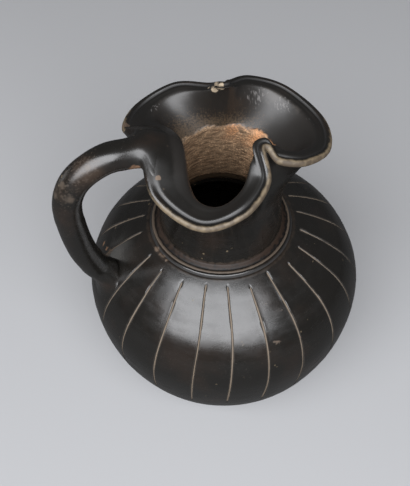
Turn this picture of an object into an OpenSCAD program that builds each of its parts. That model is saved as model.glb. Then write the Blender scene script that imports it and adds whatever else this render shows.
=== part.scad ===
// Oinochoe: a black wheel-thrown pouring jug with a trefoil mouth and one
// round loop handle. Millimetres. The origin is at the middle of the foot's
// underside, +Z is up, the spout points along +X and the handle along -X.

/* [Belly] */
// Radius of the belly at its widest
belly_r = 65; // [62:1:68]
// Height of the widest part of the belly above the ground
belly_z = 66; // [64:1:70]
// Radius of the arc from the foot to the widest part
lower_arc_r = 80; // [78:1:84]
// Radius of the arc that turns the belly in to the shoulder
turn_arc_r = 36; // [34:1:38]
// Angle at which the turn gives way to the shoulder, in degrees
turn_angle = 50; // [48:1:52]
// Radius of the flat arc of the shoulder
shoulder_arc_r = 90; // [86:1:96]
// Thickness of the belly's wall
wall = 5; // [4:0.5:6]
// Thickness of the floor inside the belly
floor_t = 6; // [5:0.5:8]

/* [Foot] */
// Outer radius of the foot ring where it stands
foot_r = 38.5; // [38:0.5:41]
// Height of the foot ring
foot_h = 6; // [5:0.5:7]
// Width of the foot ring's standing face
foot_w = 7; // [6:0.5:9]

/* [Neck] */
// Outer radius of the neck where it stands on the shoulder
neck_r = 28; // [27:0.5:28.5]
// Thickness of the neck's wall
neck_wall = 4.5; // [4:0.5:5]
// Outer radius that the neck is drawn in towards
waist_r = 22.5; // [21:0.5:24]
// Width of the moulded ring round the neck's foot
ring_w = 3.2; // [2.5:0.1:3.5]
// Height of the moulded ring
ring_h = 3.4; // [2.5:0.1:4]

/* [Mouth] */
// Radius of the round bead along the lip
bead_r = 1.5; // [1.2:0.1:1.8]
// Width of the lip from the bead over its groove to the inside of the mouth
lip_w = 5; // [4.6:0.2:6]
// Extra width of the lip where the handle's clay is pressed over it
saddle_w = 8; // [6:0.5:9]
// Share of its reach over which the outside of the wall flares to the lip
outer_flare = 0.5; // [0.4:0.05:0.6]
// Share of its reach over which the inside of the wall flares to the lip
inner_flare = 0.85; // [0.7:0.05:0.9]
// Share of the mouth's height at which the outside is drawn in to its waist
outer_waist = 0.55; // [0.5:0.05:0.6]
// Share of the mouth's height at which the inside is drawn in, where the bowl of the mouth begins
inner_waist = 0.66; // [0.6:0.02:0.7]

/* [Handle] */
// Radius of the handle's round section
handle_r = 5.8; // [5:0.1:6.5]
// Radius that the clay collar at the handle's lower end widens to inside the belly
collar_r = 13; // [12:0.5:14]

/* [Hidden] */
$fn = 128;

// Belly: three tangent arcs, whose middles follow from the driving sizes
lower_mid = [belly_r - lower_arc_r, belly_z];
turn_mid = [belly_r - turn_arc_r, belly_z];
shoulder_mid = turn_mid - (shoulder_arc_r - turn_arc_r) * [cos(turn_angle), sin(turn_angle)];
shoulder_edge_r = neck_r + ring_w;
neck_z = shoulder_mid[1] + sqrt(pow(shoulder_arc_r, 2) - pow(shoulder_edge_r - shoulder_mid[0], 2));
belly_low = foot_h;
throat_r = neck_r - neck_wall;
arc_steps = 16;

// Lip: half of its outer edge from the spout to the handle, as x, y and height
lip_half = [
  [43.5, 0, 152],
  [35.5, 19.5, 156],
  [21, 27, 160.5],
  [9.5, 24.5, 163.5],
  [6.5, 20.5, 167],
  [4, 29, 160.5],
  [-9, 38, 157.5],
  [-27, 35.5, 153.5],
  [-38, 17.5, 160],
  [-35, 0, 167]
];
half_n = len(lip_half);
lip_points = concat(
  lip_half,
  [for (i = [half_n - 2:-1:1]) [lip_half[i][0], -lip_half[i][1], lip_half[i][2]]]
);
lip_n = len(lip_points);
steps = 6;
cols = lip_n * steps;
handle_col = (half_n - 1) * steps;
wall_rows = 14;
bead_rows = 6;
up = [0, 0, 1];

// Angles from which the bead's section runs and at which it ends, on the free lip and at the handle
bead_from = -75;
bead_to = 120;
bead_to_at_handle = 90;
// From the bead to the inside: share of the lip's width, and height, over the
// groove of the free lip and over the smooth saddle under the handle
groove_line = [[0.58, 0.7], [0.72, 1.3], [0.92, 1.5], [1, 1.2]];
saddle_line = [[0.25, 1.9], [0.43, 2.2], [0.66, 2.3], [1, 2]];
lip_rows = bead_rows + len(groove_line) - 1;
// Distances from the handle, in lip points, over which the groove and the saddle's width change
groove_span = [0.7, 1.2];
saddle_span = [0.7, 2.1];
// Columns on either side over which the lip's folds are softened down the wall
soft_span = 8;
// Share of the mouth's height that the wall still climbs as it turns out to the lip
outer_drop = 0.1;
inner_drop = 0.25;

// Handle: its middle line in the plane y = 0, as distance from the axis and height
handle_line = [
  [41, 164.5], [48, 165.2], [54, 163.6], [59.8, 160.2], [64, 155.3], [66.6, 148.5],
  [67.4, 141], [67.1, 133], [66.2, 122], [64.6, 111.5], [61.9, 101.5]
];
handle_steps = 4;
root_cols = 5;
root_low = 9;
root_high = wall_rows + bead_rows + 1;
blend_steps = 6;
// How far the handle's root leaves along the lip and upwards, against 1 straight out
root_hug = 0.6;
root_lift = 0.5;
root_reach = 0.35;
ring_reach = 0.5;
collar_depth = 38;

function lerp(a, b, t) = a + (b - a) * t;
function arc(mid, r, from, to) = [
  for (i = [0:arc_steps]) let (a = lerp(from, to, i / arc_steps)) mid + r * [cos(a), sin(a)]
];
function unit(v) = v / norm(v);
function bezier(a, b, c, d, t) =
  pow(1 - t, 3) * a + 3 * pow(1 - t, 2) * t * b + 3 * (1 - t) * t * t * c + pow(t, 3) * d;
function through(a, b, c, d, t) =
  0.5 * (2 * b + (c - a) * t + (2 * a - 5 * b + 4 * c - d) * t * t + (3 * b - a - 3 * c + d) * pow(t, 3));
function wrap(i, n) = (i % n + n) % n;

// The lip's outer edge at one of its columns
function lip_edge(col) =
  let (i = floor(col / steps), t = (col - i * steps) / steps)
  through(
    lip_points[wrap(i - 1, lip_n)], lip_points[wrap(i, lip_n)],
    lip_points[wrap(i + 1, lip_n)], lip_points[wrap(i + 2, lip_n)], t
  );

// Level direction that points out of the lip, square to its edge
function lip_out(col) =
  let (d = lip_edge(col + 1) - lip_edge(col - 1))
  unit([d[1], -d[0], 0]);

// 1 at the handle, falling to 0 between two distances counted in lip points
function near_handle(col, span) =
  let (t = max(0, min(1, (span[1] - abs(col - handle_col) / steps) / (span[1] - span[0]))))
  t * t * (3 - 2 * t);

// The lip's edge with its folds softened, so that they fade out down the wall
function soft_edge(col) =
  let (far = soft_span, mid = soft_span / 2)
  (lip_edge(col - far) + lip_edge(col - mid) + lip_edge(col) + lip_edge(col + mid) + lip_edge(col + far)) / 5;
function soft_out(col) =
  let (d = soft_edge(col + 1) - soft_edge(col - 1))
  unit([d[1], -d[0], 0]);

function round_the_neck(edge, r, z) =
  let (a = atan2(edge[1], edge[0]))
  [r * cos(a), r * sin(a), z];

// One upright line of the wall from the neck's foot up to a point of the lip
function wall_line(foot, edge, soft, waist, waist_share, flare, drop, t) =
  let (
    rise = edge[2] - foot[2],
    a = round_the_neck(edge, waist, foot[2] + waist_share * rise),
    reach = norm([soft[0], soft[1]]) - waist,
    out = unit([soft[0], soft[1], 0]),
    b = soft - out * flare * max(reach, 0) - up * (drop * rise)
  )
  bezier(foot, a, b, edge, t);

// The lip's section: a round bead, then its groove, which fades out towards the handle
function lip_point(edge, out, inward, bare, width, k) =
  let (
    a = lerp(bead_from, lerp(bead_to, bead_to_at_handle, bare), k / (bead_rows - 1)),
    i = max(k - bead_rows, 0),
    beyond = lerp(groove_line[i], saddle_line[i], bare)
  )
  k < bead_rows ? edge + out * bead_r * (cos(a) - 1) + up * bead_r * sin(a) :
    edge + inward * width * beyond[0] + up * beyond[1];

// Every point of the neck and mouth, row by row: up the outside, over the lip, down the inside
function mouth_point(row, col) =
  let (
    edge = lip_edge(col), out = lip_out(col), soft = soft_edge(col), k = row - wall_rows,
    inward = -unit(out + soft_out(col)),
    bare = near_handle(col, groove_span), width = lip_w + saddle_w * near_handle(col, saddle_span),
    top = lip_point(edge, out, inward, bare, width, max(0, min(k, lip_rows)))
  )
  k < 0 ?
    let (foot = round_the_neck(edge, neck_r, neck_z))
    wall_line(foot, top, soft, waist_r, outer_waist, outer_flare, outer_drop, row / wall_rows) :
  k < lip_rows ? top :
    let (foot = round_the_neck(edge, throat_r, neck_z), t = 1 - (k - lip_rows) / wall_rows)
    wall_line(
      foot, top, soft + inward * width, waist_r - neck_wall, inner_waist, inner_flare, inner_drop, t
    );

mouth_rows = 2 * wall_rows + lip_rows + 1;
mouth_grid = [for (row = [0:mouth_rows - 1]) [for (col = [0:cols - 1]) mouth_point(row, col)]];

// Two triangles for each cell of a grid whose columns close on themselves
function cell(a, b, c, d) = [[a, b, c], [a, c, d]];
function turned(faces) = [for (f = faces) [for (i = [len(f) - 1:-1:0]) f[i]]];
function ring_faces(rows, n, close) = [
  for (row = [0:rows - (close ? 1 : 2)], col = [0:n - 1])
    let (next = (row + 1) % rows, right = (col + 1) % n)
    each cell(row * n + col, next * n + col, next * n + right, row * n + right)
];

// The handle's root is a patch of the mouth's wall; its border is walked once round
root_w = 2 * root_cols;
root_h = root_high - root_low;
border_n = 2 * (root_w + root_h);
function root_point(u, v) = mouth_grid[root_low + v][wrap(handle_col + u - root_cols, cols)];
root_mid = root_point(root_w / 2, floor(root_h / 2));
function border_uv(k) =
  k < root_w ? [k, root_h] :
  k < root_w + root_h ? [root_w, root_h - (k - root_w)] :
  k < 2 * root_w + root_h ? [root_w - (k - root_w - root_h), 0] :
    [0, k - 2 * root_w - root_h];
function border_angle(k) =
  let (uv = border_uv(k))
  atan2((uv[1] - root_h / 2) / root_h, (uv[0] - root_w / 2) / root_w);

line_n = (len(handle_line) - 1) * handle_steps;
function line_control(i) =
  let (last = len(handle_line) - 1)
  i < 0 ? 2 * handle_line[0] - handle_line[1] :
  i > last ? 2 * handle_line[last] - handle_line[last - 1] : handle_line[i];
function line_point(s) =
  let (
    i = min(floor(s / handle_steps), len(handle_line) - 2), t = s / handle_steps - i,
    p = through(line_control(i - 1), line_control(i), line_control(i + 1), line_control(i + 2), t)
  )
  [-p[0], 0, p[1]];
function line_way(s) = unit(line_point(min(s + 0.5, line_n)) - line_point(max(s - 0.5, 0)));

// A point of the handle's round section at a place along its line
function handle_ring(s, k) =
  let (way = line_way(s), over = cross(way, [0, -1, 0]), a = border_angle(k))
  line_point(s) + handle_r * (cos(a) * [0, -1, 0] + sin(a) * over);

function root_blend(k, t) =
  let (
    uv = border_uv(k),
    from = root_point(uv[0], uv[1]),
    to = handle_ring(0, k),
    away = unit(root_hug * unit(root_mid - from) + [-1, 0, root_lift]),
    gap = norm(to - from)
  )
  bezier(from, from + away * root_reach * gap, to - line_way(0) * ring_reach * gap, to, t);

handle_rows = blend_steps + line_n + 1;
handle_grid = [
  for (row = [0:handle_rows - 1])
    [for (k = [0:border_n - 1])
      row < blend_steps ? root_blend(k, row / blend_steps) : handle_ring(row - blend_steps, k)]
];
patch_points = [for (v = [1:root_h - 1], u = [1:root_w - 1]) root_point(u, v)];
function border_index(u, v) =
  v == root_h ? u :
  u == root_w ? root_w + root_h - v :
  v == 0 ? root_w + root_h + root_w - u : 2 * root_w + root_h + v;
function patch_index(u, v) =
  (u == 0 || v == 0 || u == root_w || v == root_h) ? wrap(border_index(u, v), border_n) :
    handle_rows * border_n + (v - 1) * (root_w - 1) + u - 1;
patch_faces = [
  for (v = [0:root_h - 1], u = [0:root_w - 1])
    each cell(patch_index(u, v), patch_index(u, v + 1), patch_index(u + 1, v + 1), patch_index(u + 1, v))
];

// The belly's outline from its floor up to a given radius of the shoulder
function belly_outline(inset, low, top_r) =
  let (
    low_angle = asin((low - belly_z) / (lower_arc_r - inset)),
    top_angle = acos((top_r - shoulder_mid[0]) / (shoulder_arc_r - inset))
  )
  concat(
    arc(lower_mid, lower_arc_r - inset, low_angle, 0),
    arc(turn_mid, turn_arc_r - inset, 0, turn_angle),
    arc(shoulder_mid, shoulder_arc_r - inset, turn_angle, top_angle)
  );

module belly_solid() {
  rotate_extrude()
  polygon(concat([[0, belly_low]], belly_outline(0, belly_low, shoulder_edge_r), [[0, neck_z]]));
}

module belly_hollow() {
  floor_z = belly_low + floor_t;
  rotate_extrude()
  polygon(concat(
    [[0, floor_z]], belly_outline(wall, floor_z, throat_r),
    [[throat_r, neck_z + wall], [0, neck_z + wall]]
  ));
}

// Ring of clay that the pot stands on, with a rounded outer side
module foot_ring() {
  color("#2a2725")
  rotate_extrude() {
    translate([foot_r - foot_w, 0]) square([foot_w - foot_h / 2, foot_h]);
    translate([foot_r - foot_h / 2, foot_h / 2]) circle(foot_h / 2);
  }
}

// Thrown belly and shoulder, hollow, open at the top
module body() {
  color("#262423")
  difference() {
    belly_solid();
    belly_hollow();
  }
}

// Moulded ring round the foot of the neck
module neck_ring() {
  color("#34302d")
  translate([0, 0, neck_z])
  rotate_extrude() {
    translate([neck_r, 0]) square([ring_w, ring_h - ring_w / 2]);
    translate([neck_r + ring_w / 2, ring_h - ring_w / 2]) circle(ring_w / 2);
  }
}

// Neck that opens into a mouth pinched to three lobes, with a bead and a groove along its lip
module neck_and_mouth() {
  color("#2b2826")
  polyhedron(
    points = [for (row = mouth_grid) each row],
    faces = ring_faces(mouth_rows, cols, true)
  );
}

// Round handle from the lip to the shoulder, its root pressed out over the lip
module handle() {
  color("#302b29")
  polyhedron(
    points = concat([for (row = handle_grid) each row], patch_points),
    faces = turned(concat(
      ring_faces(handle_rows, border_n, false),
      patch_faces,
      [[for (k = [border_n - 1:-1:0]) (handle_rows - 1) * border_n + k]]
    ))
  );
}

// Flared collar of clay that joins the handle's lower end to the shoulder
module handle_collar() {
  way = line_way(line_n);
  color("#35302c")
  difference() {
    translate(line_point(line_n))
    rotate([0, atan2(way[0], way[2]), 0])
    cylinder(r1 = handle_r, r2 = collar_r, h = collar_depth);
    belly_solid();
  }
}

foot_ring();
body();
neck_ring();
neck_and_mouth();
handle();
handle_collar();
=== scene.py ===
"""A black burnished clay jug with a trefoil mouth: the looks of its pieces, and the stage.

Lengths are metres. The spout points along +X and the handle along -X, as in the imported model.
"""
import math

import bpy
import numpy as np
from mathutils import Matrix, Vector, noise


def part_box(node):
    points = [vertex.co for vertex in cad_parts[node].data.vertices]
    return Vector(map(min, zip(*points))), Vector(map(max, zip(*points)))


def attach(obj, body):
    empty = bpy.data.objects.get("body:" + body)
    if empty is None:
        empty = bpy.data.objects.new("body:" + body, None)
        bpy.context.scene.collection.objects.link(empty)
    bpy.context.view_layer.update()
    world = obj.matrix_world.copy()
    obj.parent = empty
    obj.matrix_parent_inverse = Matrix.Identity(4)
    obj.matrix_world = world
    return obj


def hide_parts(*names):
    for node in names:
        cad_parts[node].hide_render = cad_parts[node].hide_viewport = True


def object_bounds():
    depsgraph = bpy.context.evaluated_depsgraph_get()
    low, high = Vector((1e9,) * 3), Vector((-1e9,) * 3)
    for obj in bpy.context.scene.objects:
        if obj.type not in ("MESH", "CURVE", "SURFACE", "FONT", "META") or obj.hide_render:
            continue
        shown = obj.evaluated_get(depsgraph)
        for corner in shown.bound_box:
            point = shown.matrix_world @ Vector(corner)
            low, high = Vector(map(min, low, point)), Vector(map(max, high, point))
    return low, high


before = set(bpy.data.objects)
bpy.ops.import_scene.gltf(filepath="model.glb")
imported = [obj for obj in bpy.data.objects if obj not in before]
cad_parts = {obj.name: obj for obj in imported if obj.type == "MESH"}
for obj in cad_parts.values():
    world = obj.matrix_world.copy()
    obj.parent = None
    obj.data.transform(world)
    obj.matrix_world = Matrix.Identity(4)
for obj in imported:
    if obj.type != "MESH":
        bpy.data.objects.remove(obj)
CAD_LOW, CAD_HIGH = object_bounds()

bl_info = {
    "name": "Trefoil jug of burnished black clay",
    "version": (1, 0, 0),
    "blender": (4, 5, 0),
    "location": "3D View > Sidebar > Jug",
    "description": "Builds a thrown and burnished pouring jug with incised strokes",
    "category": "Add Mesh",
}

MM = 0.001
FULL_TURN = 2 * math.pi
BELLY_LOW, BELLY_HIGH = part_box("body")
RING_LOW, RING_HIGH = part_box("neck_ring")
FOOT_LOW, FOOT_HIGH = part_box("foot_ring")
UP = np.array((0.0, 0.0, 1.0))
GENTLE_ANGLE = math.radians(50)
LAMP_AIM = Vector((0, 0, 0.1))
# Thickness of the belly's floor, and height of the clay raised beside a stroke
BELLY_FLOOR, BURR_HEIGHT = 6 * MM, 0.05 * MM
# How much lower the front lobe opens into the neck, and how far the collar swells towards the front
FRONT_DROP, COLLAR_BULGE = 14 * MM, 2.2 * MM


def paint(name, description, colour):
    """A colour among the settings."""
    return bpy.props.FloatVectorProperty(name=name, description=description, default=colour, subtype="COLOR")


class BellySettings(bpy.types.PropertyGroup):
    """Sizes of the belly and of the strokes cut into it."""
    radius: bpy.props.FloatProperty(
        name="Belly radius", description="Radius at the widest", default=BELLY_HIGH.x, unit="LENGTH")
    middle: bpy.props.FloatProperty(
        name="Widest height", description="Height of the widest part", default=66 * MM, unit="LENGTH")
    lower_arc: bpy.props.FloatProperty(
        name="Lower arc", description="Radius of the arc above the foot", default=80 * MM, unit="LENGTH")
    turn_arc: bpy.props.FloatProperty(
        name="Turn arc", description="Radius of the turn to the shoulder", default=36 * MM, unit="LENGTH")
    turn_angle: bpy.props.FloatProperty(
        name="Turn angle", description="Where the turn becomes the shoulder", default=math.radians(50),
        subtype="ANGLE")
    shoulder_arc: bpy.props.FloatProperty(
        name="Shoulder arc", description="Radius of the flat shoulder arc", default=90 * MM, unit="LENGTH")
    wall: bpy.props.FloatProperty(
        name="Wall", description="Thickness of the belly's wall", default=5 * MM, unit="LENGTH")
    stroke_width: bpy.props.FloatProperty(
        name="Stroke width", description="Width of an incised stroke", default=0.95 * MM, unit="LENGTH")
    stroke_depth: bpy.props.FloatProperty(
        name="Stroke depth", description="Depth of an incised stroke", default=0.5 * MM, unit="LENGTH")
    ring_groove: bpy.props.FloatProperty(
        name="Ring groove", description="Depth of the groove round the neck's ring", default=0.6 * MM,
        unit="LENGTH")
    stroke_step: bpy.props.FloatProperty(
        name="Stroke step", description="Turn from one stroke to the next", default=math.radians(15.7),
        subtype="ANGLE")
    stroke_lean: bpy.props.FloatProperty(
        name="Stroke lean", description="Sideways turn of a stroke for each radian of latitude", default=0.05)


class MouthSettings(bpy.types.PropertyGroup):
    """Sizes of the neck, the three-lobed lip and the ring at the neck's foot."""
    neck_radius: bpy.props.FloatProperty(
        name="Neck radius", description="Outer radius at the neck's foot", default=28 * MM, unit="LENGTH")
    neck_wall: bpy.props.FloatProperty(
        name="Neck wall", description="Thickness of the neck", default=4.5 * MM, unit="LENGTH")
    throat: bpy.props.FloatProperty(
        name="Throat", description="Inner radius at the neck's top", default=20.3 * MM, unit="LENGTH")
    step_height: bpy.props.FloatProperty(
        name="Bowl height", description="Where the neck opens into the mouth", default=143.5 * MM,
        unit="LENGTH")
    off_centre: bpy.props.FloatVectorProperty(
        name="Off centre", description="How far the neck stands off the axis", size=2,
        default=(-1.9 * MM, 0.75 * MM), unit="LENGTH")
    waist: bpy.props.FloatProperty(
        name="Waist", description="Radius that the neck is drawn in towards", default=22.5 * MM,
        unit="LENGTH")
    bead: bpy.props.FloatProperty(
        name="Bead", description="Radius of the bead along the lip", default=1.5 * MM, unit="LENGTH")
    lip_width: bpy.props.FloatProperty(
        name="Lip width", description="From the bead to the inside", default=5.2 * MM, unit="LENGTH")


class HandleSettings(bpy.types.PropertyGroup):
    """Sizes of the handle and of the collar at its lower end."""
    radius: bpy.props.FloatProperty(
        name="Handle radius", description="Radius of the round section", default=5.8 * MM, unit="LENGTH")
    collar: bpy.props.FloatProperty(
        name="Collar", description="Reach of the collar over the shoulder", default=9.5 * MM, unit="LENGTH")
    tail: bpy.props.FloatProperty(
        name="Tail", description="Reach of the collar down the belly", default=14 * MM, unit="LENGTH")
    sideways: bpy.props.FloatProperty(
        name="Sideways", description="How far the handle's lower end lands to the far side", default=3.4 * MM,
        unit="LENGTH")


class FinishSettings(bpy.types.PropertyGroup):
    """Colours of the fired clay and the earth on it, among them painted shade and painted light."""
    clay: paint("Clay", "Burnished black clay", (0.0105, 0.0095, 0.008))
    brown: paint("Brown clay", "Browner patches", (0.036, 0.022, 0.015))
    # Painted shade: near-black laid in the groove round the ring, along the strokes' sides, in the lip's
    # groove and on the ring's low ledge
    painted_shade: paint("Painted shade", "Unburnished clay in the grooves", (0.006, 0.005, 0.0045))
    inner: paint("Inner clay", "Duller clay inside the lobes", (0.019, 0.016, 0.0135))
    dust: paint("Dust", "Grey-brown dulled clay", (0.11, 0.095, 0.082))
    brown_dust: paint("Deposit", "Brown earth left in corners", (0.06, 0.039, 0.025))
    rim: paint("Ring edge", "Worn rim of the neck's ring", (0.13, 0.1, 0.075))
    pale: paint("Strokes", "Pale clay in the strokes", (0.23, 0.18, 0.13))
    tan: paint("Tan wear", "Rubbed lip", (0.25, 0.19, 0.115))
    rubbed: paint("Rubbed edge", "Brown clay under the black", (0.2, 0.135, 0.09))
    chip: paint("Chips", "Fresh orange breaks", (0.3, 0.16, 0.085))
    lip_chip: paint("Lip chips", "Pale breaks in the lip", (0.5, 0.4, 0.28))
    scratch: paint("Scratches", "Pale scratches", (0.34, 0.32, 0.31))
    speckle: paint("Speckles", "Earth specks on the lobes", (0.12, 0.08, 0.045))
    crust: paint("Crust", "Earth crust in the neck", (0.86, 0.56, 0.33))
    crust_dark: paint("Crust hollows", "Brown between the crust's grains", (0.2, 0.11, 0.055))
    # Orange of the crust, laid where light falls into the neck, so in part a painted pool of light
    crust_orange_and_light: paint("Crust orange", "Brightest part of the crust", (0.86, 0.4, 0.17))
    rough: bpy.props.FloatProperty(
        name="Roughness", description="Roughness of the burnished clay", default=0.2, min=0, max=1)
    sheen: bpy.props.FloatProperty(
        name="Sheen", description="Strength of the clay's reflections", default=1, min=0, max=1)


class StageSettings(bpy.types.PropertyGroup):
    """Camera, floor and lamps."""
    azimuth: bpy.props.FloatProperty(
        name="Azimuth", description="Turn of the view from +Y towards +X", default=math.radians(22),
        subtype="ANGLE")
    elevation: bpy.props.FloatProperty(
        name="Elevation", description="How far the view looks down", default=math.radians(53.5),
        subtype="ANGLE")
    distance: bpy.props.FloatProperty(
        name="Distance", description="From the camera to its aim", default=0.331, unit="LENGTH")
    aim: bpy.props.FloatVectorProperty(
        name="Aim", description="Point that the camera looks at", default=(-0.0085, 0.0034, 0.088),
        unit="LENGTH")
    lens: bpy.props.FloatProperty(name="Lens", description="Focal length in mm", default=51.85)
    floor: paint("Floor", "Colour of the floor", (0.58, 0.585, 0.595))
    floor_bounce: paint("Floor bounce", "Colour that the floor casts on the jug", (0.13, 0.13, 0.13))
    room: paint("Room", "Colour of the room's light", (0.8, 0.79, 0.8))
    room_light: bpy.props.FloatProperty(
        name="Room light", description="Strength of the room's light", default=0.1)
    window: bpy.props.FloatVectorProperty(
        name="Window", description="Middle of the window", default=(-0.416, -0.722, 0.963), unit="LENGTH")
    window_size: bpy.props.FloatVectorProperty(
        name="Window size", description="Width and height of the window", size=2, default=(1.68, 1.02),
        unit="LENGTH")
    window_power: bpy.props.FloatProperty(name="Window light", description="Power of the window", default=26)
    window_tint: paint("Window tint", "Colour of the window's light", (0.96, 0.97, 1))
    fill: bpy.props.FloatVectorProperty(
        name="Fill", description="Middle of the fill lamp", default=(-0.9, 0.68, 0.22), unit="LENGTH")
    fill_size: bpy.props.FloatVectorProperty(
        name="Fill size", description="Width and height of the fill lamp", size=2, default=(0.5, 0.35),
        unit="LENGTH")
    fill_power: bpy.props.FloatProperty(name="Fill light", description="Power of the fill lamp", default=0.4)
    fill_tint: paint("Fill tint", "Colour of the fill lamp's light", (1, 0.98, 0.95))


# Half of the lip's outer edge from the spout to the handle, in mm: x, y and height
LIP_HALF = (
    (43.5, 0, 152), (35.5, 19.5, 156), (21, 27, 160.5), (9.5, 24.5, 163.5), (6.5, 20.5, 167),
    (4, 29, 160.5), (-9, 38, 157.5), (-27, 35.5, 153.5), (-38, 17.5, 160), (-35, 0, 167),
)
# The handle's middle line in mm: distance from the jug's axis, and height
HANDLE_LINE = (
    (41, 164.5), (48, 165.2), (54, 163.6), (59.8, 160.2), (64, 155.3), (66.6, 148.5),
    (67.4, 141), (67.1, 133), (66.2, 122), (64.6, 111.5), (61.9, 101.5),
)
# How far the front half of the lip was pinched differently, in mm, from the handle round to the spout
FRONT_SLIPS = (
    (-0.9, -1.8, 0), (-0.1, -0.1, 0), (-1.3, -1.6, 0), (-0.2, -1.5, 0), (-0.2, 1, 0), (0, 0, 0), (0, 0, 0),
    (0, 0, 0),
)
# Outline of the neck's ring in mm: distance from the axis, and height above the shoulder's edge
RING_OUTLINE = (
    (26.5, -1), (31, -1), (31.15, 0.3), (31.1, 1.2), (30.75, 1.75), (30.3, 1.7), (29.8, 1.35),
    (29.2, 1.4), (28.5, 2.1), (27.9, 3), (27.2, 3.2), (26.5, 3),
)
# Wear of the bead at each lip point, from the spout round by the far side, the handle and the front
LIP_WEAR = (0.5, 0.2, 0.1, 0.1, 0.3, 0.1, 0.1, 0.35, 1, 0, 0.5, 0.9, 0.95, 0.95, 1, 1, 1, 0.9, 0.5)
# Wear of the bead on each row over it, from its outside to its inside
BEAD_WEAR = (0.3, 0.7, 1, 1, 1, 1, 0.9, 0.6, 0.35, 0.15)
# Marks of age, and places of painted light among them, each as x, y, z and reach in mm
BELLY_WORN = (
    (-34.3, -4, 106, 2.4), (-33.5, -8, 106, 2), (-32.5, -11, 106.3, 1.6), (12, -30.3, 107.3, 2),
    (-52, 12, 91, 4), (0.2, -57.2, 88.3, 1.2), (11.3, -57.5, 85.8, 1), (5.4, -47.6, 96.8, 0.9),
)
BELLY_CHIPS = (
    (-52.7, 15.9, 90.8, 2.4), (-52.9, 20.7, 88.8, 1.6), (-50.5, 11.5, 93, 2), (-11.8, -63, 74, 0.8),
    (7.1, -61.2, 81.3, 0.7),
)
# Places of the orange crust on the neck's far wall, which also stand for a painted pool of light
CRUST_ORANGE_AND_LIGHT = ((19, 6, 143, 17), (22, -3, 145, 14), (11, 17, 143, 11))
# Grey dusty patches inside the lobes, which also stand for a painted sheen
LOBE_DUST_AND_SHEEN = ((29, 18, 158, 11), (38, 9, 154, 9), (-16, 35, 156, 8))
LIP_WORN = ((-26.5, -4.8, 168.1, 1.6), (-34.3, -14.9, 163.7, 2), (-36.2, 18.5, 161, 4), (-37, -8, 165, 3))
LIP_DULL = ((9, -20, 158, 14), (3, -27, 155, 12), (-34, -13, 163, 11))
LOBE_SCRATCHES = ((20, 19.2, 157.5, 9), (39, -1, 153, 6), (30, 12, 155, 8), (-22, 30, 156, 6))
LIP_CHIPS = ((3.6, 21.5, 165.8, 4), (4.2, 18.4, 167, 3.4), (2.2, 20, 165, 3), (2, 24.5, 163, 2))
HANDLE_WORN = (
    (-67.3, -1.9, 160.2, 2.5), (-57, -3.8, 167.1, 2), (-66, -5.5, 155.1, 3), (-70.6, -0.8, 154.8, 2.5),
)
HANDLE_CHIPS = ((-40, -6, 161.5, 4.5), (-36.5, -9, 162, 3))
HANDLE_DULL = ((-38, -7, 164, 10),)
# Columns of the mouth's skin from one lip point to the next, and rows of each part of the skins
LIP_STEPS = 12
OUTER_ROWS, BOWL_ROWS, NECK_ROWS, BEAD_ROWS = 24, 14, 12, 9
ROOT_ROWS, HANDLE_ROWS, COLLAR_ROWS = 14, 56, 24
# Half the width of the handle's root in columns, its lowest row, and its highest past the bead
ROOT_COLUMNS, ROOT_LOW, ROOT_HIGH = 10, 15, 4
# Past the bead, for the free lip and for the saddle: share of the lip's width, and height in mm
GROOVE_LINE = ((0.54, 0.75), (0.62, 0.8), (0.72, 1.3), (0.85, 1.6), (1, 1.4))
SADDLE_LINE = ((0.54, 1.9), (0.66, 2.1), (0.8, 2.25), (0.95, 2.2), (1.15, 2))
# How far the lip slopes on inwards at each lip point, in mm, from the spout round to the spout again
LEDGE = (1, 1, 1, 1, 1, 1, 1, 1.5, 10.5, 13.5, 9, 3.4, 4.2, 2.6, 1, 1, 1, 1, 1)
# The strokes start beside the handle and run round by the front, the last of them this much further on
FIRST_STROKE = math.radians(-173.2)
STROKES_SPAN = math.radians(338.3)
# How far each stroke that shows was cut from even spacing, in degrees
STROKE_SLIPS = (0, -1.1, 0, 0.8, 0, -0.6, -1, 0.9, 1.1, 0.3, 1.2, 1.6, 0.3)
STROKE_COUNT = 23
# Columns on one side of a stroke, as distances from its middle in mm at the widest part
STROKE_COLUMNS = (0, 0.2, 0.4, 0.6, 0.85, 1.4, 2.8, 5.2)
OUTLINE_POINTS = 48


def settings():
    """The scene, which carries the settings of every piece."""
    return bpy.context.scene


def deselect():
    if bpy.context.object and bpy.context.object.mode != "OBJECT":
        bpy.ops.object.mode_set(mode="OBJECT")
    bpy.ops.object.select_all(action="DESELECT")


def activate(piece):
    """Makes a piece the only selected one."""
    deselect()
    piece.select_set(True)
    bpy.context.view_layer.objects.active = piece


def apply_modifier(piece, kind, **values):
    """Adds a modifier with the given values and applies it."""
    activate(piece)
    mod = piece.modifiers.new(kind.title(), kind)
    for key, value in values.items():
        setattr(mod, key, value)
    bpy.ops.object.modifier_apply(modifier=mod.name)


def seat(piece, name, node, finish):
    """Names a finished piece, gives it its finish and lets it stand for its CAD node."""
    activate(piece)
    bpy.ops.object.transform_apply(location=True, rotation=True, scale=True)
    set_coordinates(piece, np.clip(coordinates(piece), CAD_LOW, CAD_HIGH))
    bpy.ops.object.shade_smooth_by_angle(angle=GENTLE_ANGLE)
    piece.name = name
    piece.data.name = name
    piece.data.materials.clear()
    piece.data.materials.append(finish())
    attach(piece, "root")
    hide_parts(node)


def recalculate_outside(piece):
    """Merges points that meet and turns every face outwards."""
    activate(piece)
    bpy.ops.object.mode_set(mode="EDIT")
    bpy.ops.mesh.select_all(action="SELECT")
    bpy.ops.mesh.remove_doubles(threshold=1e-6)
    bpy.ops.mesh.normals_make_consistent(inside=False)
    bpy.ops.object.mode_set(mode="OBJECT")


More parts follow.
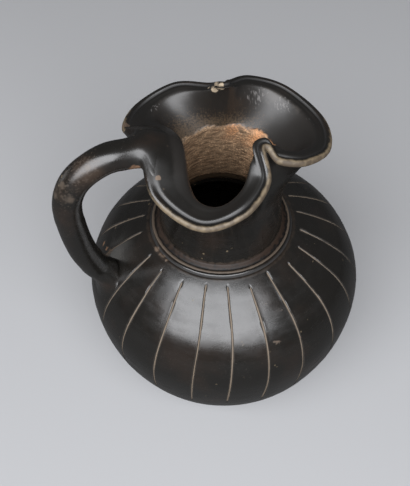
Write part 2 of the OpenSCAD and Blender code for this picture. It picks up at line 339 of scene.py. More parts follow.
def close_ends(piece):
    """Closes the open ends with a face each."""
    activate(piece)
    bpy.ops.object.mode_set(mode="EDIT")
    bpy.ops.mesh.select_mode(type="VERT")
    bpy.ops.mesh.select_all(action="SELECT")
    bpy.ops.mesh.fill_holes(sides=0)
    bpy.ops.object.mode_set(mode="OBJECT")


def new_piece(name, points, edges, faces):
    """A new mesh object in the scene."""
    mesh = bpy.data.meshes.new(name)
    mesh.from_pydata([tuple(p) for p in points], edges, faces)
    piece = bpy.data.objects.new(name, mesh)
    bpy.context.collection.objects.link(piece)
    return piece


def spin_outline(name, outline, closed, steps):
    """A piece turned as on the wheel: its outline, as distance and height, spun round the jug's axis."""
    count = len(outline)
    edges = [(i, (i + 1) % count) for i in range(count if closed else count - 1)]
    piece = new_piece(name, [(r, 0, z) for r, z in outline], edges, [])
    activate(piece)
    bpy.ops.object.mode_set(mode="EDIT")
    bpy.ops.mesh.select_all(action="SELECT")
    bpy.ops.mesh.spin(steps=steps, angle=FULL_TURN, use_auto_merge=True, center=(0, 0, 0), axis=(0, 0, 1))
    bpy.ops.object.mode_set(mode="OBJECT")
    recalculate_outside(piece)
    return piece


def skin_rows(name, rows, loop_rows):
    """A mesh over rows of points. Each row is a closed ring, and loop_rows joins the last to the first."""
    count, around = len(rows), len(rows[0])
    faces = []
    for i in range(count if loop_rows else count - 1):
        a, b = i * around, (i + 1) % count * around
        for j in range(around):
            k = (j + 1) % around
            faces.append((a + j, a + k, b + k, b + j))
    return new_piece(name, np.concatenate(rows), [], faces)


def coordinates(piece):
    """The places of all points, one row each."""
    co = np.empty(len(piece.data.vertices) * 3)
    piece.data.vertices.foreach_get("co", co)
    return co.reshape(-1, 3)


def set_coordinates(piece, co):
    piece.data.vertices.foreach_set("co", np.asarray(co, np.float32).ravel())
    piece.data.update()


def normals(piece):
    """The way out of the surface at every point."""
    no = np.empty(len(piece.data.vertices) * 3)
    piece.data.vertices.foreach_get("normal", no)
    return no.reshape(-1, 3)


def mark(piece, name, values):
    """Stores one value for each vertex, for a material to read."""
    layer = piece.data.attributes.new(name, "FLOAT", "POINT")
    layer.data.foreach_set("value", np.asarray(values, np.float32))


def smooth(low, high, x):
    """From 0 to 1 as x goes from low to high, with a soft start and end."""
    t = np.clip((np.asarray(x, float) - low) / (high - low), 0, 1)
    return t * t * (3 - 2 * t)


def rough_noise(co, size, seed):
    """Perlin noise of a given size in metres, from -1 to 1, at every point."""
    shift = Vector((seed * 17.3, seed * 5.1, seed * 9.7))
    return np.array([noise.noise(Vector(p) / size + shift) for p in co])


def spots(co, places):
    """From 0 to 1: how near each point is to any of the places, each an x, y, z and reach in mm."""
    near = np.zeros(len(co))
    for x, y, z, reach in places:
        near = np.maximum(near, smooth(reach, 0, np.linalg.norm(co / MM - (x, y, z), axis=1)))
    return near


def hand_made(piece, size, amount, seed):
    """Moves the surface in and out a little, as clay shaped by hand."""
    co = coordinates(piece)
    set_coordinates(piece, co + normals(piece) * (rough_noise(co, size, seed) * amount)[:, None])


def shaped_by_hand(piece):
    """The same slight unevenness on every piece, so that neighbours still meet."""
    hand_made(piece, 26 * MM, 0.22 * MM, 6)
    hand_made(piece, 5 * MM, 0.05 * MM, 7)


def bezier(a, b, c, d, t):
    """The place at t on the curve that leaves a towards b and reaches d from c."""
    return (1 - t) ** 3 * a + 3 * (1 - t) ** 2 * t * b + 3 * (1 - t) * t * t * c + t ** 3 * d


def through(a, b, c, d, t):
    """The place at t between b and c on a smooth curve through all four."""
    return 0.5 * (2 * b + (c - a) * t + (2 * a - 5 * b + 4 * c - d) * t * t
                  + (3 * b - a - 3 * c + d) * t ** 3)


def unit(v):
    """Each row made 1 long."""
    return v / np.linalg.norm(v, axis=-1, keepdims=True)


def arc(middle, radius, start, end, count):
    """Points along an arc, as distance from the axis and height."""
    a = np.linspace(start, end, count)
    return np.stack([middle[0] + radius * np.cos(a), middle[1] + radius * np.sin(a)], 1)


def stroke_angles():
    """The angle of every stroke: the visible ones as they were cut, the others evenly spaced."""
    s = settings().jug_belly
    shown = [FIRST_STROKE + i * s.stroke_step + math.radians(slip) for i, slip in enumerate(STROKE_SLIPS)]
    hidden = STROKE_COUNT - len(shown)
    last = FIRST_STROKE + STROKES_SPAN
    step = (last - shown[-1]) / hidden
    return np.array(shown + [shown[-1] + (i + 1) * step for i in range(hidden)])


def arc_middles():
    """Middles of the belly's three arcs, as distance from the axis and height: lower, turn and shoulder."""
    s = settings().jug_belly
    lower = np.array((s.radius - s.lower_arc, s.middle))
    turn = np.array((s.radius - s.turn_arc, s.middle))
    way = np.array((math.cos(s.turn_angle), math.sin(s.turn_angle)))
    return lower, turn, turn - (s.shoulder_arc - s.turn_arc) * way


def belly_outline(inset, low, top_radius, count):
    """The belly's outline as distance from the axis and height, from low up to the shoulder's edge."""
    s = settings().jug_belly
    lower, turn, shoulder = arc_middles()
    low_angle = math.asin((low - s.middle) / (s.lower_arc - inset))
    top_angle = math.acos((top_radius - shoulder[0]) / (s.shoulder_arc - inset))
    return np.concatenate([
        arc(lower, s.lower_arc - inset, low_angle, 0, count),
        arc(turn, s.turn_arc - inset, 0, s.turn_angle, count * 2 // 3)[1:],
        arc(shoulder, s.shoulder_arc - inset, s.turn_angle, top_angle, count * 2 // 3)[1:],
    ])


def column_angles():
    """The angle of each upright column of the belly: close together at a stroke, wide between strokes."""
    angles = stroke_angles()
    following = np.append(angles[1:], angles[0] + FULL_TURN)
    side = np.array(STROKE_COLUMNS) * MM / settings().jug_belly.radius
    columns = []
    for here, there in zip(angles, following):
        columns += [*(here + side), (here + there) / 2, *(there - side[:0:-1])]
    return np.array(columns)


def nearest_stroke(co, angles_now):
    """Distance of each point from the nearest stroke, in metres along the surface, and that stroke."""
    angles = stroke_angles()
    gap = (angles_now[:, None] - angles[None] + math.pi) % FULL_TURN - math.pi
    nearest = np.abs(gap).argmin(1)
    rows = np.arange(len(co))
    return np.abs(gap[rows, nearest]) * np.hypot(co[:, 0], co[:, 1]), nearest


def belly_profile():
    """The whole outline of the belly: up its outside, over its top edge and down its inside."""
    s, m = settings().jug_belly, settings().jug_mouth
    throat = m.neck_radius - m.neck_wall
    floor_in = BELLY_LOW.z + BELLY_FLOOR
    outside = belly_outline(0, BELLY_LOW.z, RING_HIGH.x + 3 * MM, OUTLINE_POINTS)
    rim = belly_outline(0, BELLY_LOW.z, RING_HIGH.x - 1.4 * MM, OUTLINE_POINTS)
    near_ring = np.linspace(RING_HIGH.x + 2.8 * MM, RING_HIGH.x - 1.2 * MM, 21)
    height = np.interp(near_ring, rim[::-1, 0], rim[::-1, 1])
    height -= s.ring_groove * beside_ring(near_ring, 0.7 * MM)
    inside = belly_outline(s.wall, floor_in, throat + 1.5 * MM, 18)[::-1]
    return np.concatenate([
        [(0, BELLY_LOW.z), (outside[0][0] * 0.5, BELLY_LOW.z)], outside, np.stack([near_ring, height], 1),
        [(throat + 2 * MM, BELLY_HIGH.z), (throat + 1.5 * MM, BELLY_HIGH.z - 0.5 * MM)], inside,
        [(inside[-1][0] * 0.5, floor_in), (0, floor_in)],
    ])


def beside_ring(radius, gap):
    """From 0 to 1: how near each distance from the axis is to a line that runs round the neck's ring."""
    return np.exp(-((radius - RING_HIGH.x - gap) / (0.5 * MM)) ** 2)


def place_columns(belly):
    """Moves the evenly spun columns to the strokes, leaning with them.

    Gives each point's place, distance from the axis, column angle and own angle.
    """
    s = settings().jug_belly
    co = coordinates(belly)
    columns = column_angles()
    radius = np.hypot(co[:, 0], co[:, 1])
    share = (np.arctan2(co[:, 1], co[:, 0]) % FULL_TURN) / FULL_TURN
    upright = columns[np.rint(share * len(columns)).astype(int) % len(columns)]
    turned = upright + s.stroke_lean * np.arctan2(co[:, 2] - s.middle, np.maximum(radius, 1e-6))
    co = np.stack([radius * np.cos(turned), radius * np.sin(turned), co[:, 2]], 1)
    set_coordinates(belly, co)
    return co, radius, upright, turned


def stroke_zone(co, radius, outer, nearest):
    """From 0 to 1: where the strokes run, each from its own start near the ring to its own end."""
    s = settings().jug_belly
    rng = np.random.default_rng(7)
    top = RING_HIGH.x + rng.uniform(2.5, 5.5, STROKE_COUNT) * MM
    low = s.middle - 20 * MM + rng.uniform(-5, 3, STROKE_COUNT) * MM
    past_top = np.where(co[:, 2] > s.middle + 20 * MM, radius - top[nearest], 1)
    within = smooth(0, 1.5 * MM, past_top) * smooth(0, 4 * MM, co[:, 2] - low[nearest])
    return within * (outer & (radius > RING_HIGH.x + 1 * MM) & (co[:, 2] > 20 * MM))


class JUG_OT_belly(bpy.types.Operator):
    """Spins the belly from its outline and cuts the strokes into its shoulder"""
    bl_idname = "jug.belly"
    bl_label = "Belly"

    def execute(self, context):
        s = context.scene.jug_belly
        belly = spin_outline("belly", belly_profile(), False, len(column_angles()))
        co, radius, upright, turned = place_columns(belly)
        away, nearest = nearest_stroke(co, upright)
        side = normals(belly)
        outer = (side * np.stack([np.cos(turned), np.sin(turned), 0 * turned + 0.6], 1)).sum(1) > 0
        within = stroke_zone(co, radius, outer, nearest)
        half = s.stroke_width / 2 * (1 + 0.25 * rough_noise(co, 9 * MM, 3))
        cut = np.clip(1 - (away / half) ** 2, 0, 1) * within
        burr = np.exp(-((away - half * 1.25) / (0.3 * half)) ** 2) * within
        depth = s.stroke_depth * cut - BURR_HEIGHT * burr
        set_coordinates(belly, co - side * depth[:, None])
        mark(belly, "stroke", smooth(0.3, 0.9, cut))
        # Where painted shade darkens the sides of each stroke
        mark(belly, "stroke_side", smooth(0.02, 0.3, cut))
        mark(belly, "edge", burr)
        radius = np.hypot(co[:, 0], co[:, 1])
        high = co[:, 2] > s.middle
        from_edge = np.abs(radius - RING_HIGH.x - 1.7 * MM)
        mark(belly, "shoulder_edge", 0.6 * smooth(1.6 * MM, 0.4 * MM, from_edge) * outer * high)
        # Where painted shade darkens the groove round the neck's ring
        mark(belly, "ring_groove", beside_ring(radius, 0.6 * MM) * outer * high)
        set_coordinates(belly, off_centre(coordinates(belly), smooth(60 * MM, 33 * MM, radius) * high))
        shaped_by_hand(belly)
        co = coordinates(belly)
        mark(belly, "worn", spots(co, BELLY_WORN))
        mark(belly, "chip", spots(co, BELLY_CHIPS))
        seat(belly, "belly", "body", belly_clay)
        return {"FINISHED"}


class JUG_OT_foot(bpy.types.Operator):
    """Turns the foot ring and rounds its edges"""
    bl_idname = "jug.foot"
    bl_label = "Foot ring"

    def execute(self, context):
        deselect()
        height = FOOT_HIGH.z - FOOT_LOW.z
        bpy.ops.mesh.primitive_cylinder_add(
            vertices=180, radius=FOOT_HIGH.x, depth=height, location=(0, 0, height / 2), end_fill_type="NGON")
        foot = context.object
        bpy.ops.object.transform_apply(location=True, rotation=False, scale=False)
        bpy.ops.object.mode_set(mode="EDIT")
        bpy.ops.mesh.select_mode(type="FACE")
        bpy.ops.mesh.select_all(action="DESELECT")
        bpy.ops.object.mode_set(mode="OBJECT")
        for face in foot.data.polygons:
            face.select = abs(face.normal.z) > 0.9
        bpy.ops.object.mode_set(mode="EDIT")
        bpy.ops.mesh.inset(thickness=7 * MM)
        bpy.ops.mesh.bridge_edge_loops()
        bpy.ops.object.mode_set(mode="OBJECT")
        apply_modifier(
            foot, "BEVEL", width=1.6 * MM, segments=5, limit_method="ANGLE", angle_limit=GENTLE_ANGLE)
        hand_made(foot, 12 * MM, 0.08 * MM, 5)
        co = coordinates(foot)
        co[:, 2] = np.maximum(co[:, 2], 0)
        co[:, :2] *= np.minimum(1, FOOT_HIGH.x / np.maximum(np.hypot(co[:, 0], co[:, 1]), MM))[:, None]
        set_coordinates(foot, co)
        mark(foot, "wear", smooth(1.2 * MM, 0, co[:, 2]))
        seat(foot, "foot_ring_turned", "foot_ring", foot_clay)
        return {"FINISHED"}


class JUG_OT_neck_ring(bpy.types.Operator):
    """Spins the low ring round the neck's foot, with its raised rim"""
    bl_idname = "jug.neck_ring"
    bl_label = "Neck ring"

    def execute(self, context):
        outline = np.array(RING_OUTLINE) * MM + (0, RING_LOW.z)
        ring = spin_outline("neck_ring_spun", outline, True, 180)
        apply_modifier(ring, "SUBSURF", levels=1, render_levels=1)
        co = coordinates(ring)
        r, z = np.hypot(co[:, 0], co[:, 1]), co[:, 2] - RING_LOW.z
        mark(ring, "rim", smooth(29.4 * MM, 30.4 * MM, r) * smooth(1 * MM, 1.6 * MM, z))
        mark(ring, "deposit", 0.7 * smooth(30.4 * MM, 28 * MM, r))
        # Where painted shade darkens the ring's low ledge by the neck
        mark(ring, "ledge", smooth(31 * MM, 30.2 * MM, r))
        set_coordinates(ring, off_centre(co, np.ones(len(co))))
        shaped_by_hand(ring)
        seat(ring, "neck_ring_turned", "neck_ring", ring_clay)
        return {"FINISHED"}


def lip_curve():
    """The lip's outer edge, its folds softened, and how far each point is from the handle in lip points."""
    half = np.array(LIP_HALF, float)
    points = np.concatenate([half, (half * (1, -1, 1))[-2:0:-1] + np.array(FRONT_SLIPS)]) * MM
    t = (np.arange(LIP_STEPS) / LIP_STEPS)[:, None]
    spans = [
        through(points[i - 1], points[i], points[(i + 1) % len(points)], points[(i + 2) % len(points)], t)
        for i in range(len(points))
    ]
    edge = np.concatenate(spans)
    soft = softened(edge, 8)
    away = np.abs(np.arange(len(edge)) - (len(half) - 1) * LIP_STEPS) / LIP_STEPS
    return edge, soft, away


def softened(row, step):
    """A closed row with each point averaged with four of its neighbours, step columns apart."""
    return sum(np.roll(row, k * step, 0) for k in (-2, -1, 0, 1, 2)) / 5


def round_the_lip(values):
    """A value for every column of the mouth, from one for each lip point."""
    return np.interp(np.arange(LIP_STEPS * (len(values) - 1)) / LIP_STEPS, np.arange(len(values)), values)


def way_out(edge):
    """Level direction square to the lip's edge and pointing out of it, at every point of it."""
    along = np.roll(edge, -1, 0) - np.roll(edge, 1, 0)
    return unit(np.stack([along[:, 1], -along[:, 0], 0 * along[:, 0]], 1))


def round_the_neck(edge, radius, z):
    """A level circle with a point under each point of the lip."""
    a = np.arctan2(edge[:, 1], edge[:, 0])
    return np.stack([radius * np.cos(a), radius * np.sin(a), 0 * a + z], 1)


def rows_between(a, b, c, d, count):
    """Rows from row a to row d, each point on its own curve."""
    return [bezier(a, b, c, d, t) for t in np.linspace(0, 1, count + 1)]


def lip_rows(edge, out, inward, bare):
    """Rows over the lip: the round bead, its groove and shoulder, or the smooth saddle at the handle."""
    width = settings().jug_mouth.lip_width
    bead = settings().jug_mouth.bead
    rows = []
    for k in np.linspace(0, 1, BEAD_ROWS):
        a = np.radians(-75 + (200 * (1 - bare) + 165 * bare) * k)
        rows.append(edge + out * (bead * (np.cos(a) - 1))[:, None] + UP * (bead * np.sin(a))[:, None])
    for free, saddle in zip(GROOVE_LINE, SADDLE_LINE):
        share, height = (np.array(free)[:, None] * (1 - bare) + np.array(saddle)[:, None] * bare)
        rows.append(edge + inward * (width * share)[:, None] + UP * (height * MM)[:, None])
    ledge = softened(round_the_lip(LEDGE) * MM, 3)
    far_in = softened(rows[-1] + inward * ledge[:, None], 4)
    way = far_in - rows[-1]
    return rows + [rows[-1] + way * t - UP * (0.24 * ledge * t ** 1.4)[:, None] for t in (0.3, 0.65, 1)]


def mouth_rows():
    """Rows of the mouth's skin: up the neck's outside, over the lip, and down the bowl and the neck."""
    s = settings().jug_mouth
    edge, soft, away = lip_curve()
    out, soft_out = way_out(edge), way_out(soft)
    inward = -unit(out + soft_out)
    bare = smooth(1.2, 0.7, away)
    neck_z = RING_LOW.z
    lip = lip_rows(edge, out, inward, bare)
    level = unit(soft * (1, 1, 0))
    foot = round_the_neck(edge, s.neck_radius, neck_z)
    rise = lip[0][:, 2] - neck_z
    drawn = round_the_neck(edge, s.waist, 0)
    drawn[:, 2] = neck_z + 0.55 * rise
    reach = np.maximum(np.hypot(soft[:, 0], soft[:, 1]) - s.waist, 0)
    turned = soft - level * (0.5 * reach)[:, None] - UP * (0.1 * rise)[:, None]
    outside = rows_between(foot, drawn, turned, lip[0], OUTER_ROWS)[:-1]
    soft_in = softened(lip[-1], 6)
    front = smooth(-2 * MM, -20 * MM, soft[:, 1]) * smooth(16 * MM, 4 * MM, soft[:, 0])
    step = round_the_neck(edge, s.throat, s.step_height) - UP * (FRONT_DROP * front)[:, None]
    reach = np.maximum(np.hypot(soft_in[:, 0], soft_in[:, 1]) - s.throat, 0)
    rise = lip[-1][:, 2] - step[:, 2]
    up_wall = 2.5 * MM * (1 - front) + 0.33 * rise * front
    bowl = rows_between(
        step, step + UP * up_wall[:, None] + level * (0.3 * reach)[:, None],
        soft_in - level * (reach * (0.35 - 0.1 * front))[:, None] - UP * (0.38 * rise)[:, None],
        lip[-1], BOWL_ROWS)
    foot_in = round_the_neck(edge, s.neck_radius - s.neck_wall, neck_z)
    narrow = round_the_neck(edge, s.throat - 0.6 * MM, neck_z + 14 * MM)
    neck = rows_between(foot_in, narrow, step - UP * 8 * MM, step, NECK_ROWS)
    return outside, lip, bowl[::-1][1:] + neck[::-1][1:]


def off_centre(co, amount):
    """The neck was set a little off the belly's axis, so this much of the way it goes with it."""
    shift = np.array(settings().jug_mouth.off_centre)
    return co + np.concatenate([shift, [0]]) * np.asarray(amount)[:, None]


class JUG_OT_mouth(bpy.types.Operator):
    """Lofts the neck and the three-lobed mouth, with the bead and groove of its lip"""
    bl_idname = "jug.mouth"
    bl_label = "Neck and mouth"

    def execute(self, context):
        outside, lip, inside = mouth_rows()
        away = lip_curve()[2]
        rows = outside + lip + inside
        mouth = skin_rows("mouth", rows, True)
        first = len(outside)
        bead, groove, top, within = np.zeros((4, len(rows)))
        top[first + BEAD_ROWS + 1:first + BEAD_ROWS + 7] = 1
        bead[first - 1:first + BEAD_ROWS] = BEAD_WEAR
        # The groove between the bead and the lip's shoulder gets painted shade
        groove[first + BEAD_ROWS - 1:first + BEAD_ROWS + 3] = (0.5, 1, 1, 0.3)
        within[first + BEAD_ROWS + len(GROOVE_LINE) + 1:] = 1
        free = smooth(0.75, 1.05, away)
        worn = round_the_lip(LIP_WEAR)
        mark(mouth, "bead", np.outer(bead, worn).ravel())
        mark(mouth, "bead_dirt", np.outer(bead, 0.62 * worn).ravel())
        mark(mouth, "groove", np.outer(groove, free).ravel())
        mark(mouth, "lip_top", np.outer(top, free).ravel())
        mark(mouth, "within", np.outer(within, np.ones_like(away)).ravel())
        recalculate_outside(mouth)
        apply_modifier(mouth, "SUBSURF", levels=1, render_levels=1)
        co = coordinates(mouth)
        set_coordinates(mouth, off_centre(co, smooth(150 * MM, 132 * MM, co[:, 2])))
        shaped_by_hand(mouth)
        co = coordinates(mouth) / MM
        inner = np.empty(len(co))
        mouth.data.attributes["within"].data.foreach_get("value", inner)
        ragged = co[:, 2] + 1.2 * rough_noise(co, 6, 11) + 0.7 * rough_noise(co, 1.5, 12)
        # The crust's lower edge near 113 mm is set where the inside of the neck falls into shade, so the
        # black clay below it is in part painted shade
        mark(mouth, "crust", inner * smooth(111, 115, ragged) * smooth(146.5, 142.5, ragged))
        mark(mouth, "lobe", inner * smooth(143, 147, ragged))
        # Orange crust that is in part a painted pool of light on the neck's far wall
        mark(mouth, "orange_and_light", inner * spots(co * MM, CRUST_ORANGE_AND_LIGHT))
        mark(mouth, "speckle", inner * smooth(159, 142, ragged) * smooth(-30, 12, co[:, 1] - co[:, 0]) * 0.7)
        mark(mouth, "foot_dirt", (1 - inner) * smooth(113, 108, co[:, 2]))
        # Grey dust inside the lobes, partly a painted sheen
        mark(mouth, "dust_and_sheen", spots(co * MM, LOBE_DUST_AND_SHEEN) * inner)
        mark(mouth, "worn", spots(co * MM, LIP_WORN))
        mark(mouth, "dull", spots(co * MM, LIP_DULL))
        mark(mouth, "scratch", 0.42 * spots(co * MM, LOBE_SCRATCHES) * inner)
        mark(mouth, "chip", spots(co * MM, LIP_CHIPS))
        seat(mouth, "trefoil_mouth", "neck_and_mouth", mouth_clay)
        return {"FINISHED"}


def handle_path(count):
    """Points along the handle's middle line, and its direction at each."""
    line = np.array([(-d, 0, z) for d, z in HANDLE_LINE]) * MM
    points = np.concatenate([[2 * line[0] - line[1]], line, [2 * line[-1] - line[-2]]])
    spans = len(line) - 1
    path = []
    for s in np.linspace(0, spans, count):
        i = min(int(s), spans - 1)
        path.append(through(points[i], points[i + 1], points[i + 2], points[i + 3], s - i))
    path = np.array(path)
    path[:, 1] += settings().jug_handle.sideways * smooth(0.4, 1.1, np.linspace(0, 1, count))
    way = unit(np.gradient(path, axis=0))
    return path, way


def ring_round(middle, way, radius, angles):
    """A circle of points round the handle, square to its direction."""
    side = np.array((0, -1.0, 0))
    over = np.cross(way, side)
    return middle + radius * (np.cos(angles)[:, None] * side + np.sin(angles)[:, None] * over)


def root_border():
    """The handle's root on the lip: points round its border, the way out of the clay and their angles."""
    outside, lip, inside = mouth_rows()
    grid = np.array(outside + lip + inside[:4])
    across = np.roll(grid, -1, 1) - np.roll(grid, 1, 1)
    up = np.gradient(grid, axis=0)
    facing = unit(np.cross(across, up))
    middle_col = (len(LIP_HALF) - 1) * LIP_STEPS
    half, low, high = ROOT_COLUMNS, ROOT_LOW, len(outside) + BEAD_ROWS + ROOT_HIGH
    border = [(high, middle_col - half + i) for i in range(2 * half)]
    border += [(high - i, middle_col + half) for i in range(high - low)]
    border += [(low, middle_col + half - i) for i in range(2 * half)]
    border += [(low + i, middle_col - half) for i in range(high - low)]
    rows, columns = np.array(border).T
    u = (columns - middle_col) / half
    v = (rows - (low + high) / 2) / ((high - low) / 2)
    return grid[rows, columns], facing[rows, columns], np.arctan2(v, u)


class JUG_OT_handle(bpy.types.Operator):
    """Draws the round handle and presses its root out over the lip"""
    bl_idname = "jug.handle"
    bl_label = "Handle"

    def execute(self, context):
        s = context.scene.jug_handle
        root, facing, angles = root_border()
        path, way = handle_path(HANDLE_ROWS)
        first = ring_round(path[0], way[0], s.radius, angles)
        gap = np.linalg.norm(first - root, axis=1, keepdims=True)
        ahead = unit(path[2] - root)
        along = unit(ahead - 0.93 * facing * (ahead * facing).sum(1, keepdims=True))
        rows = [root - facing * 1.2 * MM - along * 1.5 * MM]
        rows += rows_between(
            root - facing * 0.1 * MM, root + along * 0.45 * gap, first - way[0] * 0.5 * gap, first,
            ROOT_ROWS)[:-1]
        rows += [ring_round(p, w, s.radius, angles) for p, w in zip(path, way)]
        handle = skin_rows("handle", rows, False)
        share = np.concatenate([np.zeros(ROOT_ROWS + 1), np.linspace(0, 1, HANDLE_ROWS)])
        wear = smooth(0.08, 0.2, share) * smooth(0.62, 0.4, share)
        mark(handle, "wear", (wear[:, None] * (0.2 + 0.2 * np.sin(angles + 0.6))[None]).ravel())
        close_ends(handle)
        recalculate_outside(handle)
        apply_modifier(handle, "SUBSURF", levels=1, render_levels=1)
        shaped_by_hand(handle)
        mark(handle, "worn", spots(coordinates(handle), HANDLE_WORN))
        mark(handle, "chip", spots(coordinates(handle), HANDLE_CHIPS))
        mark(handle, "dull", spots(coordinates(handle), HANDLE_DULL))
        seat(handle, "loop_handle", "handle", handle_clay)
        return {"FINISHED"}


def onto_belly(points):
    """The nearest place on the belly's outside for each point, and the way out of the clay there."""
    s = settings().jug_belly
    r, z = np.hypot(points[:, 0], points[:, 1]), points[:, 2]
    lower, turn, shoulder = arc_middles()
    angle = np.arctan2(z - turn[1], r - turn[0])
    low, high = (z < s.middle)[:, None], (angle > s.turn_angle)[:, None]
    middle = np.where(low, lower, np.where(high, shoulder, turn))
    size = np.where(low, s.lower_arc, np.where(high, s.shoulder_arc, s.turn_arc))
    out = unit(np.stack([r, z], 1) - middle)
    place = middle + out * size
    level = points[:, :2] / r[:, None]
    return (np.concatenate([level * place[:, :1], place[:, 1:]], 1),
            np.concatenate([level * out[:, :1], out[:, 1:]], 1))


class JUG_OT_collar(bpy.types.Operator):
    """Smears the clay of the handle's lower end out over the shoulder"""
    bl_idname = "jug.collar"
    bl_label = "Collar"

    def execute(self, context):
        s = context.scene.jug_handle
        path, way = handle_path(HANDLE_ROWS)
        turn = np.linspace(0, FULL_TURN, 96, endpoint=False)
        end, along = path[-1], way[-1]
        ring = ring_round(end, along, s.radius, turn)
        hit, out = onto_belly(np.array([end + along * 14 * MM]))
        spread = unit(ring - end)
        spread = unit(spread - out * (spread * out).sum(1, keepdims=True))
        down, up = np.clip(-spread[:, 2:], 0, 1), np.clip(spread[:, 2:], 0, 1)
        front = np.clip(-spread[:, 1:2], 0, 1) * np.clip(0.6 + spread[:, 2:], 0, 1)
        reach = s.collar + (s.tail - s.collar) * down ** 2 - 3 * MM * up ** 2 + 2.5 * MM * front
        landing, out = onto_belly(hit + spread * reach)
        back = unit(ring - landing)
        back = unit(back - 0.94 * out * (back * out).sum(1, keepdims=True))
        gap = np.linalg.norm(ring - landing, axis=1, keepdims=True)
        inside_handle = end - along * 4 * MM
        hidden = [ring_round(inside_handle, along, r * MM, turn) for r in (3, s.radius / MM + 0.02)]
        flare = rows_between(
            ring + unit(ring - end) * 0.02 * MM, ring + along * 0.4 * gap, landing + back * 0.5 * gap,
            landing - out * 0.2 * MM, COLLAR_ROWS)
        bulge = COLLAR_BULGE * front
        swell = [math.sin(math.pi * i / COLLAR_ROWS) ** 2 for i in range(COLLAR_ROWS + 1)]
        rows = hidden + [row + out * bulge * share for row, share in zip(flare, swell)]
        rows += [landing - out * 2 * MM, hit - out * 2.5 * MM + spread * 4 * MM]
        collar = skin_rows("collar", rows, False)
        close_ends(collar)
        recalculate_outside(collar)
        shaped_by_hand(collar)
        seat(collar, "shoulder_collar", "handle_collar", handle_clay)
        return {"FINISHED"}


class Tree:
    """Short ways to add shader nodes to one node tree."""

    def __init__(self, tree):
        self.nodes, self.links = tree.nodes, tree.links
        self.where = self.nodes.new("ShaderNodeTexCoord").outputs["Object"]

    def put(self, socket, value):
        if isinstance(value, bpy.types.NodeSocket):
            self.links.new(value, socket)
        else:
            socket.default_value = value

    def maths(self, kind, a, b=0.0):
        node = self.nodes.new("ShaderNodeMath")
        node.operation = kind
        self.put(node.inputs[0], a)
        self.put(node.inputs[1], b)
        return node.outputs[0]

    def stretched(self, scale, turn=(0, 0, 0), vector=None):
        node = self.nodes.new("ShaderNodeMapping")
        self.put(node.inputs["Vector"], vector or self.where)
        node.inputs["Scale"].default_value = scale
        node.inputs["Rotation"].default_value = turn
        return node.outputs[0]

    def noise(self, scale, detail=4, vector=None):
        node = self.nodes.new("ShaderNodeTexNoise")
        node.inputs["Scale"].default_value = scale
        node.inputs["Detail"].default_value = detail
        self.put(node.inputs["Vector"], vector or self.where)
        return node.outputs["Fac"]

    def ramp(self, value, low, high):
        node = self.nodes.new("ShaderNodeMapRange")
        node.interpolation_type = "SMOOTHSTEP"
        self.put(node.inputs["Value"], value)
        node.inputs["From Min"].default_value = low
        node.inputs["From Max"].default_value = high
        return node.outputs["Result"]

    def blend(self, amount, a, b):
        node = self.nodes.new("ShaderNodeMix")
        node.data_type = "RGBA"
        self.put(node.inputs["Factor"], amount)
        self.put(node.inputs[6], a)
        self.put(node.inputs[7], b)
        return node.outputs[2]

    def between(self, amount, a, b):
        node = self.nodes.new("ShaderNodeMix")
        self.put(node.inputs["Factor"], amount)
        self.put(node.inputs[2], a)
        self.put(node.inputs[3], b)
        return node.outputs[0]

    def mark(self, name):
        node = self.nodes.new("ShaderNodeAttribute")
        node.attribute_name = name
        return node.outputs["Fac"]


def new_group(name, inputs, outputs):
    """An empty node group with its sockets, its tree helper, and its start and end nodes."""
    group = bpy.data.node_groups.new(name, "ShaderNodeTree")
    for label, kind, value in inputs:
        group.interface.new_socket(label, in_out="INPUT", socket_type=kind).default_value = value
    for label, kind in outputs:
        group.interface.new_socket(label, in_out="OUTPUT", socket_type=kind)
    given = group.nodes.new("NodeGroupInput").outputs
    return group, Tree(group), given, group.nodes.new("NodeGroupOutput").inputs


